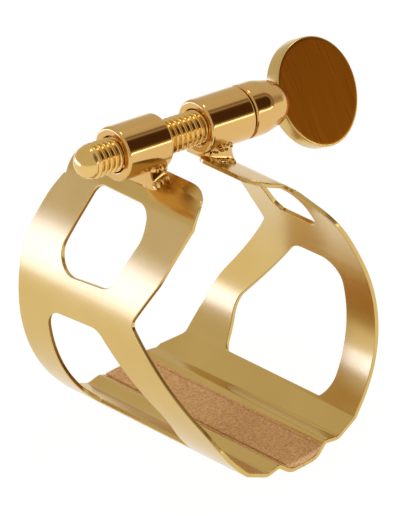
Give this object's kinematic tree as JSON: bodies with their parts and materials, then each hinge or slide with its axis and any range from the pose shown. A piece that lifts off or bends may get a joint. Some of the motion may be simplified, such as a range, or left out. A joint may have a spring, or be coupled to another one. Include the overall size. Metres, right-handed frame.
{
  "type": "saxophone ligature",
  "caption": "Gold-lacquered single-screw ligature: windowed sheet band with a ribbed reed plate and pad, two barrels, and a screw with a flat oval thumb plate.",
  "frame": {"origin": "on the axis of the mouthpiece bore, at the band's mid-length", "axes": "+Y along the bore axis, +X towards the thumb plate, +Z from the reed plate to the screw"},
  "size_m": [0.0378, 0.0308, 0.0401],
  "materials": {
    "lacquered_brass": "polished, gold lacquer",
    "braze": "rough braze metal under lacquer",
    "cork_rubber": "grainy brown pad",
    "adhesive": "thin adhesive film"
  },
  "bodies": {
    "band_body": {"band": "lacquered_brass", "reed_pad": "cork_rubber", "pad_adhesive": "adhesive"},
    "left_arm_end": {"threaded_barrel": "lacquered_brass", "threaded_barrel_foot": "lacquered_brass", "threaded_barrel_braze": "braze"},
    "right_arm_end": {"guide_barrel": "lacquered_brass", "guide_barrel_foot": "lacquered_brass", "guide_barrel_braze": "braze"},
    "screw": {"clamp_screw": "lacquered_brass", "screw_collar": "lacquered_brass", "thumb_plate": "lacquered_brass"}
  },
  "joints": [
    {"name": "right_arm_close", "type": "slide", "parent": "band_body", "child": "right_arm_end", "axis": [-0.989, 0, 0.1478], "range_m": [-0.00052, 0.00088], "deforming": ["band"]},
    {"name": "left_arm_close", "type": "slide", "parent": "band_body", "child": "left_arm_end", "axis": [0.989, 0, -0.1478], "range_m": [-0.00054, 0.0009], "deforming": ["band"]},
    {"name": "screw_turn", "type": "hinge", "parent": "right_arm_end", "child": "screw", "pos_m": [0.0003, 0, 0.0218], "axis": [-0.989, 0, 0.1478], "range_deg": [-550, 910]}
  ],
  "couplings": [
    {"joint": "screw_turn", "follows": "right_arm_close", "rad_per_m": 17952},
    {"joint": "left_arm_close", "follows": "right_arm_close", "ratio": 1}
  ]
}
